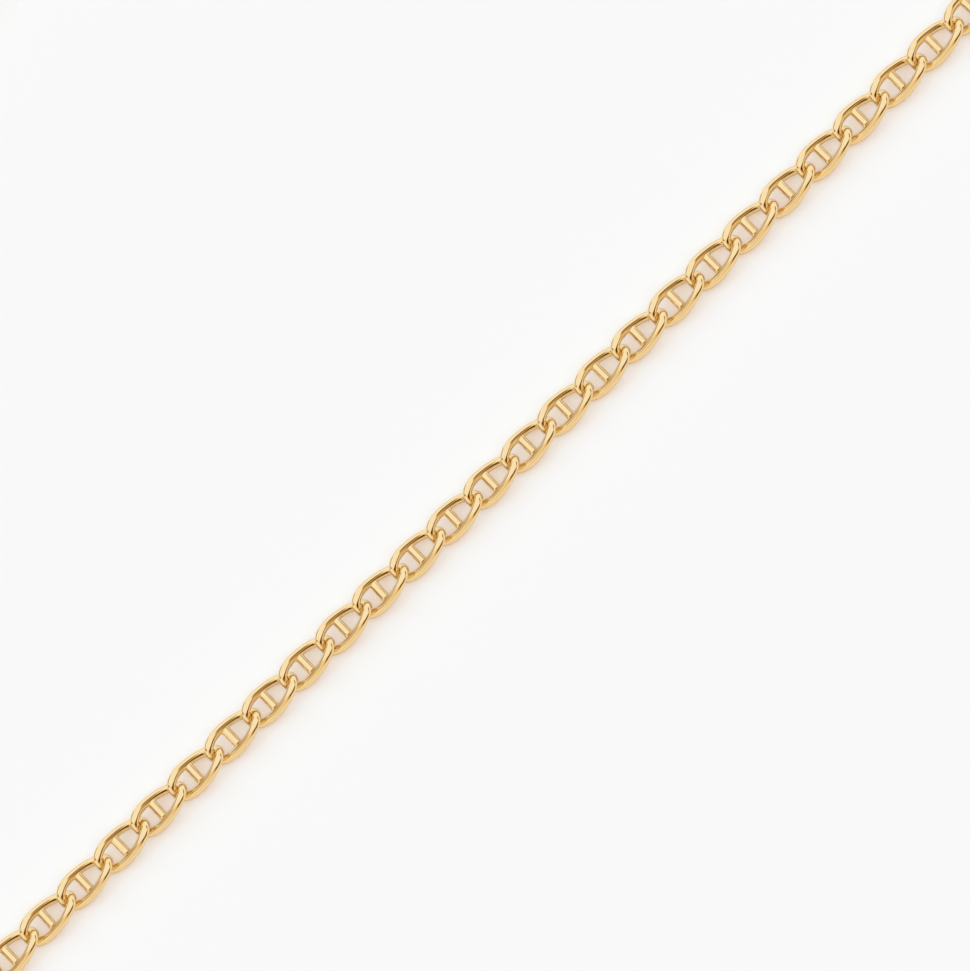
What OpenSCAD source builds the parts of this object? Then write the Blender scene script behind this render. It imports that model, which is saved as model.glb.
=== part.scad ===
// A mariner link chain: a closed necklace laid out flat, with a straight front.
// Every link is an oval of round wire with a stud across it, and is twisted so
// that it crosses the next link square. Millimetres, +Z up, the loop on Z = 0.

/* [Necklace] */
// Length of the closed necklace with its clasp
necklace_length = 457; // [440:1:540]
// Length of the straight run along the front
front_run = 148; // [130:2:150]
// Radius of the turn at each end of the straight run
corner_r = 20; // [19:1:22]

/* [Link] */
// Length of one link over its ends
link_length = 7.6; // [7.5:0.1:7.9]
// Width of one link over its sides, before the twist
link_width = 4; // [3.9:0.05:4.1]
// Diameter of the wire
wire_d = 0.95; // [0.85:0.05:0.95]
// Shape of the oval, where 2 is an ellipse and more is squarer
squareness = 3; // [2.8:0.1:3.2]
// Turn of each end about the link's length, in degrees
twist_angle = 45; // [43:1:47]
// Reach of the sine that spreads the turn along the link, in degrees
twist_spread = 70; // [60:5:80]
// Width of the stud
stud_width = 1; // [0.8:0.05:1]
// Distance of the stud from the link's middle
stud_shift = 0.3; // [0:0.05:0.4]
// Slack between two links pulled straight
link_slack = 0.17; // [0.17:0.01:0.22]

/* [Clasp] */
// Outside diameter of the two plain rings
ring_d = 4; // [4:0.1:4.4]
// Diameter of the rings' wire
ring_wire_d = 0.6; // [0.5:0.05:0.6]
// Outside diameter of the clasp's eye
eye_d = 3; // [3:0.1:3.4]
// Diameter of the bar that the eye is made of
eye_bar_d = 0.7; // [0.6:0.05:0.7]
// Diameter of the clasp's round body
body_d = 2.9; // [2.6:0.1:3]
// Outside width of the claw
claw_width = 4.6; // [4.4:0.1:5]
// Diameter of the claw's bar at its far end
claw_bar_d = 1; // [0.9:0.05:1]
// Length of the clasp from the eye's middle to the claw's far bar
clasp_reach = 7.3; // [7:0.1:8]
// Slack between the rings and what they hold
ring_slack = 0.34; // [0.34:0.02:0.4]

/* [Hidden] */
$fn = 48;
gold = "#E3B565";

wire_r = wire_d / 2;
half_length = (link_length - wire_d) / 2;
half_width = (link_width - wire_d) / 2;
pitch = link_length - 2 * wire_d - link_slack;

// The rings and the clasp stand in line between the last link's tip and the first's
ring_wire_r = ring_wire_d / 2;
ring_r = ring_d / 2 - ring_wire_r;
ring_tilt = 45;
ring_z = ring_r * sin(ring_tilt) + ring_wire_r;
eye_r = (eye_d - eye_bar_d) / 2;
claw_bar_r = claw_bar_d / 2;
claw_r = claw_width / 2 - claw_bar_r;
body_r = body_d / 2;
body_x = eye_r + body_r;
claw_x = clasp_reach - claw_r;
arm_root_r = claw_bar_d * 0.9;
arm_lap = 0.06;
tip_to_ring = ring_r - wire_r - ring_wire_r - ring_slack;
claw_to_ring = ring_r - claw_bar_r - ring_wire_r - ring_slack;
tip_to_tip = 2 * tip_to_ring + ring_r + clasp_reach + claw_to_ring;
clasp_run = tip_to_tip + 2 * half_length - pitch;

// An even number of links, so that each half of the chain has the same
half_links = round((necklace_length - clasp_run) / pitch / 2);
route_length = 2 * half_links * pitch + clasp_run;

// The back is one wide arc, and back_turn is the angle of half of it
degrees_per_radian = 180 / PI;
arc_ratio = (route_length - front_run - 2 * PI * corner_r) / front_run;
back_turn = turn_with_ratio(arc_ratio, 0, 180, 40);
back_r = corner_r + front_run / 2 / sin(back_turn);
back_y = corner_r - (back_r - corner_r) * cos(back_turn);
back_length = back_r * back_turn / degrees_per_radian;
corner_length = corner_r * (180 - back_turn) / degrees_per_radian;

// Angles round the oval at which the wire is cut into sections: above the
// stud's right edge, at its two edges, and on to the left tip
sides = 6;
right_cuts = [20, 42, 66];
left_cuts = [132, 156];
stud_edges = [
    angle_of(stud_width / 2 - stud_shift),
    angle_of(-stud_width / 2 - stud_shift)
];
upper_cuts = concat(right_cuts, stud_edges, left_cuts);
lower_cuts = [for (i = [len(upper_cuts) - 1 : -1 : 0]) -upper_cuts[i]];
cuts = concat([0], upper_cuts, [180], lower_cuts);

// Numbers of the sections at the stud's edges, and of the side that faces it
above_right = len(right_cuts) + 1;
above_left = above_right + 1;
below_right = len(cuts) - above_right;
below_left = below_right - 1;
inner_side = 2;

flat_centres = [for (t = cuts) flat_point(t)];
centres = [for (p = flat_centres) turned(p, twist_at(p.x))];
link_points = [for (i = [0 : len(cuts) - 1]) each section(i)];
link_faces = concat(wire_faces(), stud_faces());
link_z = -min([for (p = link_points) p.z]);

first_tip = placed([-half_length, 0, 0], 0);
front_y = min([for (p = link_points) p.y]);
back_edge_y = first_tip.y + claw_width / 2;
middle_y = (front_y + back_edge_y) / 2;

// Angle a, in degrees, at which its arc over its sine is the ratio given, by halving
function turn_with_ratio(ratio, low, high, steps) =
    let (a = (low + high) / 2)
    steps == 0 ? a
    : a / degrees_per_radian / sin(a) < ratio ? turn_with_ratio(ratio, a, high, steps - 1)
    : turn_with_ratio(ratio, low, a, steps - 1);

// The oval: a superellipse with a round wire along it
function rounded(v) = sign(v) * pow(abs(v), 2 / squareness);
function flat_point(t) = [half_length * rounded(cos(t)), half_width * rounded(sin(t))];
function angle_of(x) = acos(sign(x) * pow(abs(x) / half_length, squareness / 2));

// The twist about the link's length, and a flat point carried round by it
function twist_at(x) = -twist_angle * sin(twist_spread * x / half_length) / sin(twist_spread);
function turned(p, a) = [p.x, p.y * cos(a), p.y * sin(a)];

// Direction of a closed line at its point i, halfway between its two neighbours' directions
function unit(v) = v / norm(v);
function heading(line, i) =
    let (n = len(line), before = line[(i + n - 1) % n], after = line[(i + 1) % n])
    unit(unit(after - line[i]) + unit(line[i] - before));

// The wire's corners at section i, with a flat side turned to the inside of the link
function section(i) =
    let (
        forward = heading(centres, i),
        flat_forward = heading(flat_centres, i),
        outer = turned([flat_forward.y, -flat_forward.x], twist_at(flat_centres[i].x)),
        out = unit(outer - (outer * forward) * forward),
        across = cross(forward, out)
    )
    [
        for (k = [0 : sides - 1])
            let (a = (k + 0.5) * 360 / sides)
            centres[i] + wire_r * (cos(a) * out + sin(a) * across)
    ];

// Faces of the wire, left open where the stud meets it, and the stud's four faces
function corner(i, k) = (i % len(cuts)) * sides + k % sides;
function quad(a, b, c, d) = [[a, b, c], [a, c, d]];
function meets_stud(i, k) = k == inner_side && (i == above_right || i == below_left);
function wire_faces() = [
    for (i = [0 : len(cuts) - 1], k = [0 : sides - 1])
        if (!meets_stud(i, k))
            each quad(corner(i, k), corner(i + 1, k), corner(i + 1, k + 1), corner(i, k + 1))
];
function stud_faces() =
    let (low = inner_side, high = inner_side + 1)
    concat(
        quad(
            corner(above_left, high), corner(above_right, high),
            corner(below_right, high), corner(below_left, high)
        ),
        quad(
            corner(above_right, low), corner(above_left, low),
            corner(below_left, low), corner(below_right, low)
        ),
        quad(
            corner(below_right, low), corner(below_right, high),
            corner(above_right, high), corner(above_right, low)
        ),
        quad(
            corner(above_left, low), corner(above_left, high),
            corner(below_left, high), corner(below_left, low)
        )
    );

// The route, at distance d from the middle of the back: along half of the back
// arc, round a corner and along half of the front. The other half mirrors it.
function route(d) = d > route_length / 2 ? mirrored(half_route(route_length - d)) : half_route(d);
function mirrored(p) = [-p.x, p.y];
function half_route(d) =
    d < back_length ? arc_point([0, back_y], back_r, d / back_r * degrees_per_radian)
    : d < back_length + corner_length
    ? arc_point(
        [-front_run / 2, corner_r],
        corner_r,
        back_turn + (d - back_length) / corner_r * degrees_per_radian
    )
    : [d - route_length / 2, 0];
function arc_point(middle, r, a) = middle + r * [-sin(a), cos(a)];

// Link i lies between joints i and i + 1, with the inside of the loop on its left
function joint_at(i) = route(clasp_run / 2 + i * pitch);
function placed(p, i) =
    let (
        from = joint_at(i),
        to = joint_at(i + 1),
        middle = (from + to) / 2,
        ahead = unit(to - from)
    )
    [
        middle.x + p.x * ahead.x - p.y * ahead.y,
        middle.y + p.x * ahead.y + p.y * ahead.x,
        p.z + link_z
    ];

// Links from first to last, each a closed solid of its own
module links(first, last) {
    count = len(link_points);
    translate([0, -middle_y, 0])
        polyhedron(
            points = [for (i = [first : last]) each [for (p = link_points) placed(p, i)]],
            faces = [
                for (i = [0 : last - first], f = link_faces)
                    [f[0] + i * count, f[1] + i * count, f[2] + i * count]
            ]
        );
}

// A round bar bent to a circle or to part of one, about Z
module bent_bar(mid_r, bar_r, turn = 360) {
    rotate([0, 0, -turn / 2])
        rotate_extrude(angle = turn)
            translate([mid_r, 0])
                circle(r = bar_r);
}

// Carries what it holds to the back of the loop, x from the middle, running with the chain
module at_back(x) {
    translate([-x, first_tip.y - middle_y, ring_z])
        rotate([0, 0, 180])
            children();
}

// The half of the chain from the clasp's claw to the middle of the front
module left_chain() {
    color(gold)
        links(0, half_links - 1);
}

// The half of the chain from the middle of the front to the clasp's eye
module right_chain() {
    color(gold)
        links(half_links, 2 * half_links - 1);
}

// The plain ring between the last link and the clasp's eye
module clasp_ring() {
    color(gold)
        at_back(first_tip.x + tip_to_ring)
            rotate([ring_tilt, 0, 0])
                bent_bar(ring_r, ring_wire_r);
}

// The plain ring on the first link, which the claw holds
module end_ring() {
    color(gold)
        at_back(-first_tip.x - tip_to_ring)
            rotate([-ring_tilt, 0, 0])
                bent_bar(ring_r, ring_wire_r);
}

// One straight arm of the claw, from inside the body to just past where the round end begins
module claw_arm(lean) {
    reach = (claw_x - body_x) * cos(lean) + arm_lap;
    translate([body_x, 0, 0])
        rotate([0, 90, lean])
            cylinder(h = reach, r1 = arm_root_r, r2 = claw_bar_r + arm_lap);
}

// The clasp in its closed state, as one solid: an eye, a round body and a drop-shaped claw
module clasp() {
    lean = asin(claw_r / (claw_x - body_x));
    color(gold)
        at_back(first_tip.x + tip_to_ring + ring_r) {
            bent_bar(eye_r, eye_bar_d / 2);
            translate([body_x, 0, 0])
                sphere(r = body_r);
            claw_arm(lean);
            claw_arm(-lean);
            translate([claw_x, 0, 0])
                bent_bar(claw_r, claw_bar_r, 180 + 2 * lean);
        }
}

left_chain();
right_chain();
clasp();
clasp_ring();
end_ring();
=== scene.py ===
"""A mariner link chain in polished gold, laid out as a closed loop on a pale floor.

Lengths are in millimetres and angles in degrees until a mesh is made, which is in
metres. Each link is round wire along a twisted oval with a stud across, and lies on
the route at the same joints as the solids' links. The clasp and its two rings stand
at the back of the loop.
"""

import bpy
import numpy as np
from mathutils import Matrix, Vector


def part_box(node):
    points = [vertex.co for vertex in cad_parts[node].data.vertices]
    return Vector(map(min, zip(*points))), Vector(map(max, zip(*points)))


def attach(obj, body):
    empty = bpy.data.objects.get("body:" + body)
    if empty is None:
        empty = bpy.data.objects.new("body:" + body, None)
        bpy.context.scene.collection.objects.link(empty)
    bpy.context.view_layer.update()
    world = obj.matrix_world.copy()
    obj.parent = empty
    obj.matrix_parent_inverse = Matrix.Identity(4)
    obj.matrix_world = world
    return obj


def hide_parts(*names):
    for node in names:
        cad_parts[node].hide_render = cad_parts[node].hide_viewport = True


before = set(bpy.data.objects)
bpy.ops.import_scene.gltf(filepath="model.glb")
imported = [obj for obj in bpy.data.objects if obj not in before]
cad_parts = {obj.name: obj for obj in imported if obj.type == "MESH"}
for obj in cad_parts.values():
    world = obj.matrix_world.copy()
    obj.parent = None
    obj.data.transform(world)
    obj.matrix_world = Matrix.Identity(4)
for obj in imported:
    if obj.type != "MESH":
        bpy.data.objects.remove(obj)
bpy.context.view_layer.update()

MM = 0.001

# The loop: its whole length, the straight front, the corners beside it, the run that
# the clasp takes at the back, and the run of one link
NECKLACE_LENGTH = 457.0
FRONT_RUN = 148.0
CORNER_R = 20.0
CLASP_RUN = 11.85
PITCH = 5.53

# The link's outline and its wire. They are a hair tighter and thicker than the solids',
# which have to stay apart where real links pull against each other.
LINK_LENGTH = 7.42
LINK_WIDTH = 4.0
WIRE_D = 0.985
SQUARENESS = 3.0
TWIST_ANGLE = 46.5
TWIST_LAG = 0.11

# The links' highest parts, which polishing has worn: how far down, and how softly
WORN_DEPTH = 0.10
WORN_EDGE = 0.08

# The stud across the link
STUD_WIDTH = 0.98
STUD_HEIGHT = 0.66
STUD_SHIFT = 0.29
STUD_SQUARENESS = 2.5

# How far each link has turned from its neighbours on the floor, as random spreads
ROLL_SPREAD = 1.8
YAW_SPREAD = 0.7

WIRE_R = WIRE_D / 2
HALF_LENGTH = (LINK_LENGTH - WIRE_D) / 2
HALF_WIDTH = (LINK_WIDTH - WIRE_D) / 2

# The two rings beside the clasp
RING_R = 1.7
RING_WIRE_R = 0.3
RING_TILT = 45.0

# The clasp, along its own X from the eye's middle to the far end of the claw
EYE_R = 1.15
EYE_BAR_R = 0.35
BODY_X = 2.6
BODY_RADII = (1.6, 1.45, 1.42)
CLAW_R = 1.8
CLAW_X = 5.5
CLAW_BAR_R = 0.5
CLAW_ROOT_R = 0.9

# The clasp's lever: the seams at its ends as shares of the claw's length, the knob for
# the thumb, and the pin that the lever turns on
LEVER_SEAMS = (0.20, 0.56)
SEAM_DEPTH = 0.12
SEAM_WIDTH = 0.09
KNOB_AT = (3.9, 1.62, 0.0)
KNOB_RADII = (0.42, 0.3, 0.42)
PIN_R = 0.38
PIN_TOP = 1.46
# The pin's outline: share of its height, share of its radius
PIN_PROFILE = np.array([(-1.0, 0.9), (-0.97, 1.0), (0.97, 1.0), (1.0, 0.9)])

# How finely the round forms are cut
WIRE_STEPS = 84
WIRE_SIDES = 22
STUD_SIDES = 20
RING_STEPS = 96
RING_SIDES = 24
BODY_ROWS = 32
BODY_SIDES = 48
KNOB_ROWS = 24
KNOB_SIDES = 36
CLAW_STEPS = 140
CLAW_SIDES = 28
PIN_SIDES = 24

# How finely a curve's length is measured, and how often a range is halved to solve for an angle
MEASURING_STEPS = 4000
HALVINGS = 40

# Edges that turn by more than these angles are shaded sharp
LINK_CREASE = 40.0
CLASP_CREASE = 32.0
NO_CREASE = 180.0

# The photograph: its height, the chain's slope on it, one link's length along it, and how
# far a link's middle is from the picture's, along the chain and down across it
PHOTO_H = 971
CHAIN_SLOPE = 44.585
LINK_PIXELS = 51.9
LINK_AT = (9.2, 1.8)
VIEW_HEIGHT = 70.0
CAMERA_DISTANCE = 1200.0


def unit(v):
    """Each row of v, over its own length."""
    return v / np.linalg.norm(v, axis=-1, keepdims=True)


def rounded(wave, squareness):
    """A cosine or sine to the power 2 / squareness, with its own sign."""
    return np.sign(wave) * np.abs(wave) ** (2 / squareness)


def turned(flat, angle):
    """Flat points (x, y), carried round the X axis: (x, y cos a, y sin a)."""
    a = np.radians(angle)
    return np.stack([flat[..., 0], flat[..., 1] * np.cos(a), flat[..., 1] * np.sin(a)], -1)


def grid_faces(rows, columns, closed=True):
    """Quads of a grid of points whose rows are rings, which close on themselves."""
    i = np.arange(rows if closed else rows - 1)[:, None]
    j = np.arange(columns)[None, :]
    next_i, next_j = (i + 1) % rows, (j + 1) % columns
    corners = (
        i * columns + j,
        i * columns + next_j,
        next_i * columns + next_j,
        next_i * columns + j,
    )
    return np.stack([c.ravel() for c in np.broadcast_arrays(*corners)], -1)


def rings_along(middle, out, across, radius, sides, squareness=2.0):
    """Rings about the middles: middle + radius (cos a out + sin a across), with the
    cosine and the sine rounded off by the squareness."""
    a = np.arange(sides) / sides * 2 * np.pi
    radius = np.broadcast_to(radius, len(middle))[:, None, None]
    return middle[:, None] + radius * (
        rounded(np.cos(a), squareness)[None, :, None] * out[:, None]
        + rounded(np.sin(a), squareness)[None, :, None] * across[:, None]
    )


def closed_tube(middle, out, across, radius, sides):
    """A solid round bar along a closed line."""
    points = rings_along(middle, out, across, radius, sides)
    return points.reshape(-1, 3), grid_faces(len(middle), sides)


def capped_bar(middle, out, across, radius, sides, squareness=2.0):
    """A solid bar along an open line, with a flat face at each end."""
    points = rings_along(middle, out, across, radius, sides, squareness)
    faces = grid_faces(len(middle), sides, closed=False).tolist()
    faces.append(list(range(sides))[::-1])
    faces.append(list(range((len(middle) - 1) * sides, len(middle) * sides)))
    return points.reshape(-1, 3), faces


def ball(at, radii, rows, sides):
    """An ellipsoid: rings along X at -r cos b, whose radius is r sin b."""
    b = (np.arange(rows) + 0.5) / rows * np.pi
    middle = np.array(at) + np.stack([-radii[0] * np.cos(b), 0 * b, 0 * b], -1)
    out = np.broadcast_to([0, 1.0, 0], middle.shape)
    across = np.broadcast_to([0, 0, radii[2] / radii[1]], middle.shape)
    return capped_bar(middle, out, across, radii[1] * np.sin(b), sides)


def ring(radius, bar_radius):
    """A round bar along the circle (r cos a, r sin a, 0)."""
    a = np.arange(RING_STEPS) / RING_STEPS * 2 * np.pi
    out = np.stack([np.cos(a), np.sin(a), 0 * a], -1)
    down = np.broadcast_to([0, 0, -1.0], out.shape)
    return closed_tube(radius * out, out, down, bar_radius, RING_SIDES)


def mesh_of(name, points, faces):
    """A mesh from points in millimetres and faces of any size."""
    mesh = bpy.data.meshes.new(name)
    mesh.from_pydata((np.asarray(points) * MM).tolist(), [], [list(f) for f in faces])
    mesh.update()
    return mesh


def fused(name, *shells):
    """One closed skin round several shells, as points in millimetres and triangles. They
    are joined at a thousand times their size, where the join is precise enough."""
    objects = []
    for number, (points, faces) in enumerate(shells):
        mesh = mesh_of(f"{name}_{number}", points / MM, faces)
        obj = bpy.data.objects.new(mesh.name, mesh)
        bpy.context.scene.collection.objects.link(obj)
        objects.append(obj)
    first = objects[0]
    for other in objects[1:]:
        join = first.modifiers.new("join", "BOOLEAN")
        join.operation = "UNION"
        join.solver = "EXACT"
        join.object = other
    first.modifiers.new("cut", "TRIANGULATE")
    graph = bpy.context.evaluated_depsgraph_get()
    mesh = bpy.data.meshes.new_from_object(first.evaluated_get(graph))
    points = np.empty(len(mesh.vertices) * 3, np.float32)
    mesh.vertices.foreach_get("co", points)
    corners = np.empty(len(mesh.loops), np.int32)
    mesh.loops.foreach_get("vertex_index", corners)
    for obj in objects:
        bpy.data.meshes.remove(obj.data)
    bpy.data.meshes.remove(mesh)
    return points.reshape(-1, 3).astype(float), corners.reshape(-1, 3)


def piece_of(name, points, faces, material, crease):
    """A piece of the scene, shaded smooth but for edges sharper than the crease."""
    mesh = mesh_of(name, points, faces)
    mesh.shade_smooth()
    mesh.set_sharp_from_angle(angle=np.radians(crease))
    mesh.materials.append(material)
    piece = bpy.data.objects.new(name, mesh)
    bpy.context.scene.collection.objects.link(piece)
    return piece


def stands_for(piece, cad_node):
    """Puts a piece in the place of a node of the solids."""
    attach(piece, "root")
    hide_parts(cad_node)


# The link

def twist_at(x):
    """Twist at x along the link. With s = x / half length it is minus the end's twist
    times s - lag (s - s cubed)."""
    s = x / HALF_LENGTH
    return -TWIST_ANGLE * (s - TWIST_LAG * (s - s ** 3))


def oval(t):
    """A superellipse: half length and half width times the rounded cosine and sine."""
    along = HALF_LENGTH * rounded(np.cos(t), SQUARENESS)
    across = HALF_WIDTH * rounded(np.sin(t), SQUARENESS)
    return np.stack([along, across], -1)


def twisted_oval(t):
    """The wire's middle line: the oval, turned at each x by the twist there."""
    flat = oval(t)
    return turned(flat, twist_at(flat[:, 0]))


def evenly_spaced(curve, steps):
    """Angles at which a closed curve of t is cut into steps of one length."""
    t = np.linspace(0, 2 * np.pi, MEASURING_STEPS + 1)
    run = np.append(0, np.cumsum(np.linalg.norm(np.diff(curve(t), axis=0), axis=1)))
    return np.interp(np.arange(steps) / steps * run[-1], run, t)


def wire_loop():
    """The link's wire: a round bar along the twisted oval."""
    t = evenly_spaced(twisted_oval, WIRE_STEPS)
    flat = oval(t)
    middle = twisted_oval(t)
    ahead = unit(np.roll(middle, -1, 0) - np.roll(middle, 1, 0))
    flat_ahead = unit(np.roll(flat, -1, 0) - np.roll(flat, 1, 0))
    out = turned(np.stack([flat_ahead[:, 1], -flat_ahead[:, 0]], -1), twist_at(flat[:, 0]))
    out = unit(out - (out * ahead).sum(1, keepdims=True) * ahead)
    return closed_tube(middle, out, np.cross(out, ahead), WIRE_R, WIRE_SIDES)


# The stud from the lower wire's middle to the upper wire's, inside which it ends. At the
# lower wire it bows down into a small notch.
STUD_PROFILE = np.array([
    # place along the half width, share of the width, share of the height
    (-0.98, 0.96, 0.50),
    (-0.82, 1.06, 0.50),
    (-0.77, 1.06, 0.54),
    (-0.73, 1.05, 0.68),
    (-0.70, 1.03, 0.82),
    (-0.66, 1.01, 0.93),
    (-0.60, 1.00, 0.99),
    (-0.54, 1.00, 1.00),
    (0.40, 1.00, 1.00),
    (0.58, 1.04, 1.00),
    (0.70, 1.10, 0.98),
    (0.98, 1.00, 0.90),
])


def stud_bar():
    """The stud: a flattened bar between the middles of the wire's two long sides, whose
    half width and half height follow the profile."""
    share, width, height = np.split(STUD_PROFILE, 3, axis=1)
    a = np.radians(twist_at(-STUD_SHIFT))
    along = np.array([0, np.cos(a), np.sin(a)])
    up = np.array([0, -np.sin(a), np.cos(a)])
    middle = np.array([-STUD_SHIFT, 0, 0]) + share * HALF_WIDTH * along
    out = width * STUD_WIDTH / 2 * np.array([-1.0, 0, 0])
    across = height * STUD_HEIGHT / 2 * up
    return capped_bar(middle, out, across, 1.0, STUD_SIDES, STUD_SQUARENESS)


def worn_flat(z):
    """Heights held softly below the worn top: z - e ln(1 + exp((z - top) / e))."""
    top = z.max() - WORN_DEPTH
    return z - WORN_EDGE * np.log1p(np.exp((z - top) / WORN_EDGE))


# The route: a straight front, a corner at each end, and one wide arc at the back

def turn_with_ratio(ratio):
    """Angle whose own size over its sine is the ratio, by halving."""
    low, high = 0.0, np.pi
    for _ in range(HALVINGS):
        middle = (low + high) / 2
        low, high = (middle, high) if middle / np.sin(middle) < ratio else (low, middle)
    return low


HALF_LINKS = round((NECKLACE_LENGTH - CLASP_RUN) / PITCH / 2)
ROUTE_LENGTH = 2 * HALF_LINKS * PITCH + CLASP_RUN
BACK_TURN = turn_with_ratio((ROUTE_LENGTH - FRONT_RUN - 2 * np.pi * CORNER_R) / FRONT_RUN)
BACK_R = CORNER_R + FRONT_RUN / 2 / np.sin(BACK_TURN)
BACK_Y = CORNER_R - (BACK_R - CORNER_R) * np.cos(BACK_TURN)
BACK_LENGTH = BACK_R * BACK_TURN
CORNER_LENGTH = CORNER_R * (np.pi - BACK_TURN)


def route(d):
    """Points at distances d along the loop from the middle of its back: on each arc its
    middle plus r (-sin a, cos a), and on the front a straight line."""
    half = np.minimum(d, ROUTE_LENGTH - d)
    side = np.where(d > ROUTE_LENGTH / 2, -1, 1)
    on_back = half < BACK_LENGTH
    on_arc = half < BACK_LENGTH + CORNER_LENGTH
    a = np.where(on_back, half / BACK_R, BACK_TURN + (half - BACK_LENGTH) / CORNER_R)
    r = np.where(on_back, BACK_R, CORNER_R)
    arc_x = np.where(on_back, 0, -FRONT_RUN / 2) - r * np.sin(a)
    arc_y = np.where(on_back, BACK_Y, CORNER_R) + r * np.cos(a)
    x = np.where(on_arc, arc_x, half - ROUTE_LENGTH / 2)
    y = np.where(on_arc, arc_y, 0)
    return np.stack([side * x, y], -1)


def placed(points, first, last):
    """One link's points, once for each numbered link: rolled a little, turned to run
    nearly from its joint to the next, moved to the middle between the two, and set
    down on the floor."""
    joints = route(CLASP_RUN / 2 + np.arange(first, last + 2) * PITCH)
    middle = (joints[:-1] + joints[1:]) / 2
    ahead = unit(joints[1:] - joints[:-1])
    random = np.random.default_rng(first + 1)
    roll = np.radians(random.normal(0, ROLL_SPREAD, (len(middle), 1)))
    yaw = np.radians(random.normal(0, YAW_SPREAD, (len(middle), 1)))
    ahead = ahead * np.cos(yaw) + ahead[:, ::-1] * (-1, 1) * np.sin(yaw)
    x, flat_y, flat_z = points.T
    y = flat_y * np.cos(roll) - flat_z * np.sin(roll)
    z = flat_y * np.sin(roll) + flat_z * np.cos(roll)
    across_x = middle[:, :1] + x * ahead[:, :1] - y * ahead[:, 1:]
    across_y = middle[:, 1:] + x * ahead[:, 1:] + y * ahead[:, :1]
    return np.stack([across_x, across_y, z - z.min(1, keepdims=True)], -1)


# The clasp

def claw():
    """The drop-shaped claw: a bar that leaves the body, bends round the far end and comes
    back. Its radius falls along each arm, and dips at the lever's two ends."""
    lean = np.arcsin(CLAW_R / (CLAW_X - BODY_X))
    arm = (CLAW_X - BODY_X) * np.cos(lean)
    bend = CLAW_R * (np.pi + 2 * lean)
    total = 2 * arm + bend
    s = np.linspace(0, total, CLAW_STEPS)
    half = np.minimum(s, total - s)
    side = np.where(s < total / 2, 1, -1)
    a = np.pi / 2 + lean - np.maximum(half - arm, 0) / CLAW_R
    x = np.where(half < arm, BODY_X + half * np.cos(lean), CLAW_X + CLAW_R * np.cos(a))
    y = np.where(half < arm, half * np.sin(lean), CLAW_R * np.sin(a)) * side
    middle = np.stack([x, y, 0 * x], -1)
    ahead = unit(np.gradient(middle, axis=0))
    out = np.stack([ahead[:, 1], -ahead[:, 0], 0 * x], -1)
    up = np.broadcast_to([0, 0, 1.0], middle.shape)
    radius = CLAW_ROOT_R + (CLAW_BAR_R - CLAW_ROOT_R) * np.minimum(half / arm, 1)
    for seam in LEVER_SEAMS:
        radius = radius - SEAM_DEPTH * np.exp(-((s - seam * total) / SEAM_WIDTH) ** 2)
    return capped_bar(middle, out, up, radius, CLAW_SIDES)


def pin():
    """The lever's pin: a round bar up through the body, with a soft edge."""
    height, width = PIN_PROFILE.T
    z = height * PIN_TOP
    middle = np.stack([0 * z + BODY_X, 0 * z, z], -1)
    out = np.broadcast_to([1.0, 0, 0], middle.shape)
    across = np.broadcast_to([0, 1.0, 0], middle.shape)
    return capped_bar(middle, out, across, PIN_R * width, PIN_SIDES)


def clasp_skin():
    """The clasp: its eye, body, claw, knob and pin in one skin."""
    body = ball((BODY_X, 0, 0), BODY_RADII, BODY_ROWS, BODY_SIDES)
    knob = ball(KNOB_AT, KNOB_RADII, KNOB_ROWS, KNOB_SIDES)
    return fused("clasp", ring(EYE_R, EYE_BAR_R), body, claw(), knob, pin())


# Materials. The sizes of the gold's waves and of its haze are in millimetres.

LINK_WAVES = {"wave_size": 1.1, "wave_height": 0.012}
CLASP_WAVES = {"wave_size": 1.6, "wave_height": 0.012}
HAZE_SIZE = 0.5


def node(tree, kind, inputs=(), **settings):
    """Adds a node, sets its attributes, and fills its inputs with values or links."""
    made = tree.nodes.new(kind)
    for name, value in settings.items():
        setattr(made, name, value)
    for name, value in dict(inputs).items():
        if isinstance(value, bpy.types.NodeSocket):
            tree.links.new(value, made.inputs[name])
        else:
            made.inputs[name].default_value = value
    return made


def linear(colour):
    """An sRGB hex colour as linear red, green, blue and one."""
    parts = np.array([int(colour[i:i + 2], 16) for i in (1, 3, 5)]) / 255
    return (*np.where(parts <= 0.04045, parts / 12.92, ((parts + 0.055) / 1.055) ** 2.4), 1.0)


def new_material(name):
    """A material with its tree emptied, and that tree."""
    material = bpy.data.materials.new(name)
    material.use_nodes = True
    material.node_tree.nodes.clear()
    return material, material.node_tree


def polished_gold(name, wave_size, wave_height):
    """Gold plate on polished silver. Broad low waves, left by the tumbling barrel, make
    the reflections wander, and the polish is a little duller in some places."""
    material, tree = new_material(name)
    place = node(tree, "ShaderNodeTexCoord").outputs["Object"]
    waves = node(tree, "ShaderNodeTexNoise", {
        "Vector": place, "Scale": 1 / (wave_size * MM), "Detail": 1.0, "Roughness": 0.4,
    })
    bump = node(tree, "ShaderNodeBump", {
        "Height": waves.outputs["Fac"], "Distance": wave_height * MM, "Strength": 1.0,
    })
    haze = node(tree, "ShaderNodeTexNoise", {
        "Vector": place, "Scale": 1 / (HAZE_SIZE * MM), "Detail": 3.0, "Roughness": 0.6,
    })
    polish = node(tree, "ShaderNodeMapRange", {
        "Value": haze.outputs["Fac"], "From Min": 0.3, "From Max": 0.7,
        "To Min": 0.04, "To Max": 0.08,
    })
    shader = node(tree, "ShaderNodeBsdfPrincipled", {
        "Base Color": linear("#F3DBAA"), "Metallic": 1.0, "Roughness": polish.outputs[0],
        "Normal": bump.outputs[0],
    })
    node(tree, "ShaderNodeOutputMaterial", {"Surface": shader.outputs[0]})
    return material


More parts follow.
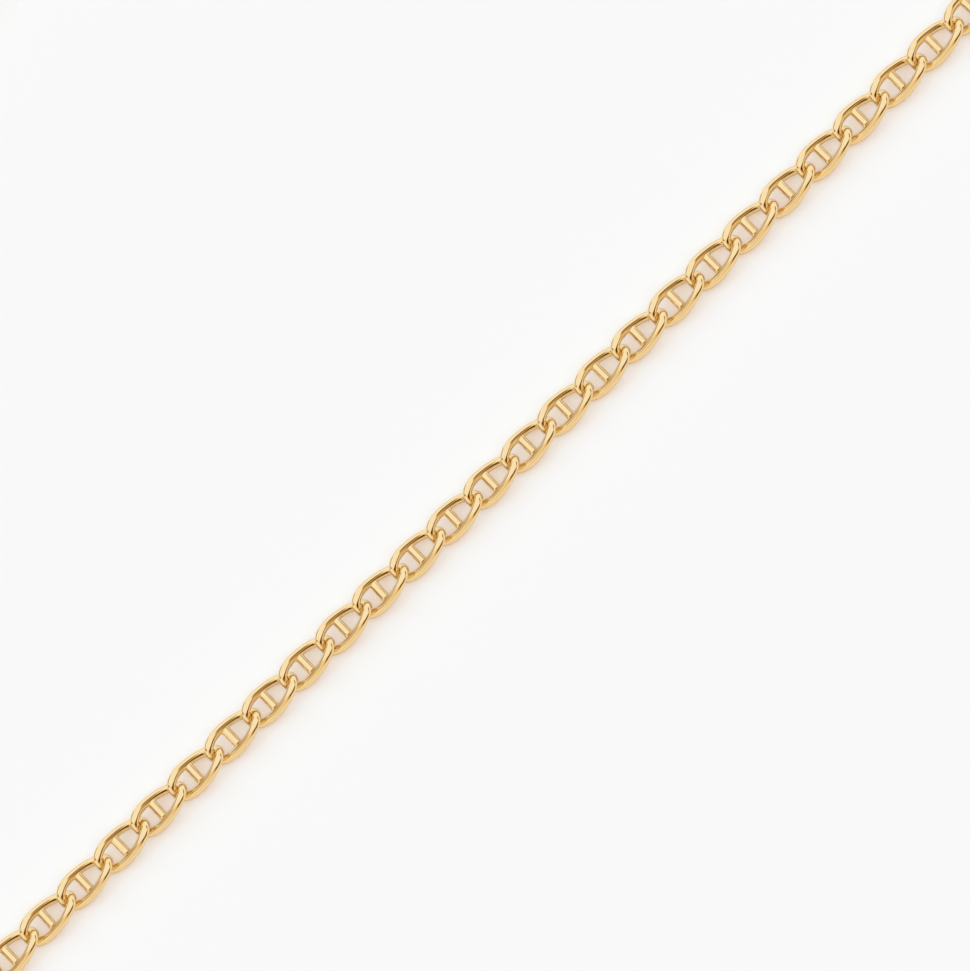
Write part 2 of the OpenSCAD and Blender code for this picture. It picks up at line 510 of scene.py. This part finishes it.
def floor_with_painted_glow(name):
    """The floor: a matt white sheet with a painted glow. A warm emission, which every ray but a
    glossy one sees, lifts and warms its shadows as if it glowed faintly from below. Its pale blue
    base colour leaves the shade that remains warm. The gold reflects the plain sheet, whose
    shadows are as dark as they are."""
    material, tree = new_material(name)
    # Painted glow: the floor emits warm light though it is no lamp, which lifts its shadows. The
    # blue-white base keeps open floor white and the shade warm.
    painted_glow = node(tree, "ShaderNodeBsdfPrincipled", {
        "Base Color": linear("#AAD0E0"), "Roughness": 0.9, "Specular IOR Level": 0.0,
        "Emission Color": linear("#C3997C"), "Emission Strength": 1.0,
    })
    plain = node(tree, "ShaderNodeBsdfDiffuse", {"Color": linear("#F9F3EA")})
    in_gold = node(tree, "ShaderNodeLightPath").outputs["Is Glossy Ray"]
    sheet = node(tree, "ShaderNodeMixShader", {
        0: in_gold, 1: painted_glow.outputs[0], 2: plain.outputs[0],
    })
    node(tree, "ShaderNodeOutputMaterial", {"Surface": sheet.outputs[0]})
    return material


# The pieces

link_gold = polished_gold("polished_gold_plate", **LINK_WAVES)
clasp_gold = polished_gold("polished_gold_plate_clasp", **CLASP_WAVES)

link_points, link_faces = fused("link", wire_loop(), stud_bar())
link_points[:, 2] = worn_flat(link_points[:, 2])
# How high a link's own axis lies above the floor
axis_z = -link_points[:, 2].min()

# The clasp's ring is round, so the middle of its box is its centre, and the first link's
# tip is on the same line
ring_low, ring_high = np.array(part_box("clasp_ring")) / MM
loop_middle_y = route(np.array([CLASP_RUN / 2]))[0, 1] - (ring_low[1] + ring_high[1]) / 2


def chain(name, first, last):
    """A run of links as one piece."""
    points = placed(link_points, first, last)
    points[..., 1] -= loop_middle_y
    steps = np.arange(len(points))[:, None, None] * points.shape[1]
    faces = (link_faces + steps).reshape(-1, 3)
    piece = piece_of(f"{name}_in_gold", points.reshape(-1, 3), faces, link_gold, LINK_CREASE)
    stands_for(piece, name)


chain("left_chain", 0, HALF_LINKS - 1)
chain("right_chain", HALF_LINKS, 2 * HALF_LINKS - 1)

ring_points, ring_faces = ring(RING_R, RING_WIRE_R)
for name, tilt in (("clasp_ring", RING_TILT), ("end_ring", -RING_TILT)):
    low, high = np.array(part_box(name)) / MM
    turn = np.array(Matrix.Rotation(np.radians(tilt), 3, "X"))
    points = ring_points @ turn.T + (low + high) / 2
    piece = piece_of(f"{name}_in_gold", points, ring_faces, clasp_gold, NO_CREASE)
    stands_for(piece, name)

# The clasp's eye is at the high end of its box, and the claw points toward -X
low, high = np.array(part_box("clasp")) / MM
eye_at = np.append(high[0] - EYE_R - EYE_BAR_R, (low[1:] + high[1:]) / 2)
clasp_points, clasp_faces = clasp_skin()
clasp_points = clasp_points * (-1, -1, 1) + eye_at
clasp = piece_of("clasp_in_gold", clasp_points, clasp_faces, clasp_gold, CLASP_CREASE)
stands_for(clasp, "clasp")

# The floor reaches far past the loop on every side
FLOOR = 900.0
# The floor's material paints a faint warm glow into it, which lifts its shadows
floor = piece_of(
    "floor",
    [(-FLOOR, -FLOOR, 0), (FLOOR, -FLOOR, 0), (FLOOR, FLOOR, 0), (-FLOOR, FLOOR, 0)],
    [(0, 1, 2, 3)],
    floor_with_painted_glow("matt_white_floor_painted_glow"),
    NO_CREASE,
)

# The camera looks down on the straight front from the side of the wearer's chest

mm_per_pixel = PITCH / LINK_PIXELS
rise = np.radians(VIEW_HEIGHT)
roll = np.radians(CHAIN_SLOPE)
back = Vector((0, -np.cos(rise), np.sin(rise)))
across_view = Vector((0, np.sin(rise), np.cos(rise)))
aim = Vector((PITCH / 2 - LINK_AT[0] * mm_per_pixel, -loop_middle_y, axis_z))
aim += across_view * LINK_AT[1] * mm_per_pixel
right = Vector((np.cos(roll), 0, 0)) - across_view * np.sin(roll)
up = Vector((np.sin(roll), 0, 0)) + across_view * np.cos(roll)

camera = bpy.data.objects.new("camera", bpy.data.cameras.new("camera"))
bpy.context.scene.collection.objects.link(camera)
camera.data.sensor_width = 36.0
camera.data.lens = camera.data.sensor_width * CAMERA_DISTANCE / (PHOTO_H * mm_per_pixel)
camera.data.clip_start = 0.1
camera.data.clip_end = 10
camera.matrix_world = Matrix.Translation((aim + back * CAMERA_DISTANCE) * MM) @ Matrix(
    (right, up, back)
).transposed().to_4x4()
bpy.context.scene.camera = camera

# The light: a white tent all round, with brown gaps between its sheets, which polished
# gold shows as dark lines. A broad lamp above lights the floor alone.

GAPS = (
    # way to its middle (azimuth, elevation), half its width and half its height, each as
    # (where it starts to fade, where it ends), and its depth
    ((311, 45), (34, 66), (8, 16), 0.33),
    ((285, 47), (16, 47), (11, 25), 1.10),
    ((260, 33), (37, 52), (30, 70), 0.26),
    ((308, 17), (12, 26), (12, 21), 0.26),
    ((195, 52), (40, 65), (10, 24), 0.15),
    ((157, 45), (6, 16), (5, 14), 0.78),
    ((129, 24), (26, 37), (6, 13), 0.88),
    ((4, 50), (21, 30), (6, 14), 0.76),
)
# Colours of the tent by depth into a gap: white, cream, tan and brown
GAP_COLOURS = ((0.0, "#FFFFFF"), (0.2, "#FAECD7"), (0.5, "#DEC18F"), (1.0, "#582903"))
TENT_STRENGTH = 1.06

# The lamp: how wide it looks from the floor, how far it leans to the back, and its power
LAMP_WIDTH = 120.0
LAMP_LEAN = 9.0
LAMP_POWER = 3.18


def near_direction(tree, toward, across, upward):
    """One within a window of the surroundings and nothing outside it, with soft edges."""
    azimuth, elevation = toward
    way = node(tree, "ShaderNodeTexCoord").outputs["Generated"]
    spun = node(tree, "ShaderNodeVectorRotate", {"Vector": way, "Angle": np.radians(-azimuth)})
    parts = node(tree, "ShaderNodeSeparateXYZ", {"Vector": spun.outputs[0]})
    side = node(
        tree, "ShaderNodeMath", {0: parts.outputs["Y"], 1: parts.outputs["X"]}, operation="ARCTAN2"
    )
    height = node(tree, "ShaderNodeMath", {0: parts.outputs["Z"]}, operation="ARCSINE")
    masks = []
    for angle, middle, (inner, outer) in ((side, 0, across), (height, elevation, upward)):
        away = node(tree, "ShaderNodeMath", {
            0: angle.outputs[0], 1: np.radians(middle),
        }, operation="SUBTRACT")
        size = node(tree, "ShaderNodeMath", {0: away.outputs[0]}, operation="ABSOLUTE")
        mask = node(tree, "ShaderNodeMapRange", {
            "Value": size.outputs[0],
            "From Min": np.radians(inner), "From Max": np.radians(outer),
            "To Min": 1.0, "To Max": 0.0,
        }, interpolation_type="SMOOTHSTEP")
        masks.append(mask.outputs[0])
    both = node(tree, "ShaderNodeMath", {0: masks[0], 1: masks[1]}, operation="MULTIPLY")
    return both.outputs[0]


bpy.context.scene.view_settings.view_transform = "Standard"
world = bpy.data.worlds.new("studio")
bpy.context.scene.world = world
world.use_nodes = True
tree = world.node_tree
tree.nodes.clear()
depth = None
for toward, across, upward, deepest in GAPS:
    window = near_direction(tree, toward, across, upward)
    gap = node(tree, "ShaderNodeMath", {0: window, 1: deepest}, operation="MULTIPLY").outputs[0]
    if depth is not None:
        gap = node(tree, "ShaderNodeMath", {0: depth, 1: gap}, operation="ADD").outputs[0]
    depth = gap
ramp = node(tree, "ShaderNodeValToRGB", {"Fac": depth})
stops = ramp.color_ramp.elements
for at, _ in GAP_COLOURS[1:-1]:
    stops.new(at)
for stop, (_, colour) in zip(stops, GAP_COLOURS):
    stop.color = linear(colour)
background = node(tree, "ShaderNodeBackground", {
    "Color": ramp.outputs[0], "Strength": TENT_STRENGTH,
})
node(tree, "ShaderNodeOutputWorld", {"Surface": background.outputs[0]})
# The gold alone sees the tent, and the floor is lit by the lamp
world.cycles_visibility.diffuse = False

lamp = bpy.data.objects.new("lamp_above", bpy.data.lights.new("lamp_above", "SUN"))
lamp.data.angle = np.radians(LAMP_WIDTH)
lamp.data.energy = LAMP_POWER
lamp.rotation_euler = (np.radians(-LAMP_LEAN), 0, 0)
lamp.visible_glossy = False
bpy.context.scene.collection.objects.link(lamp)
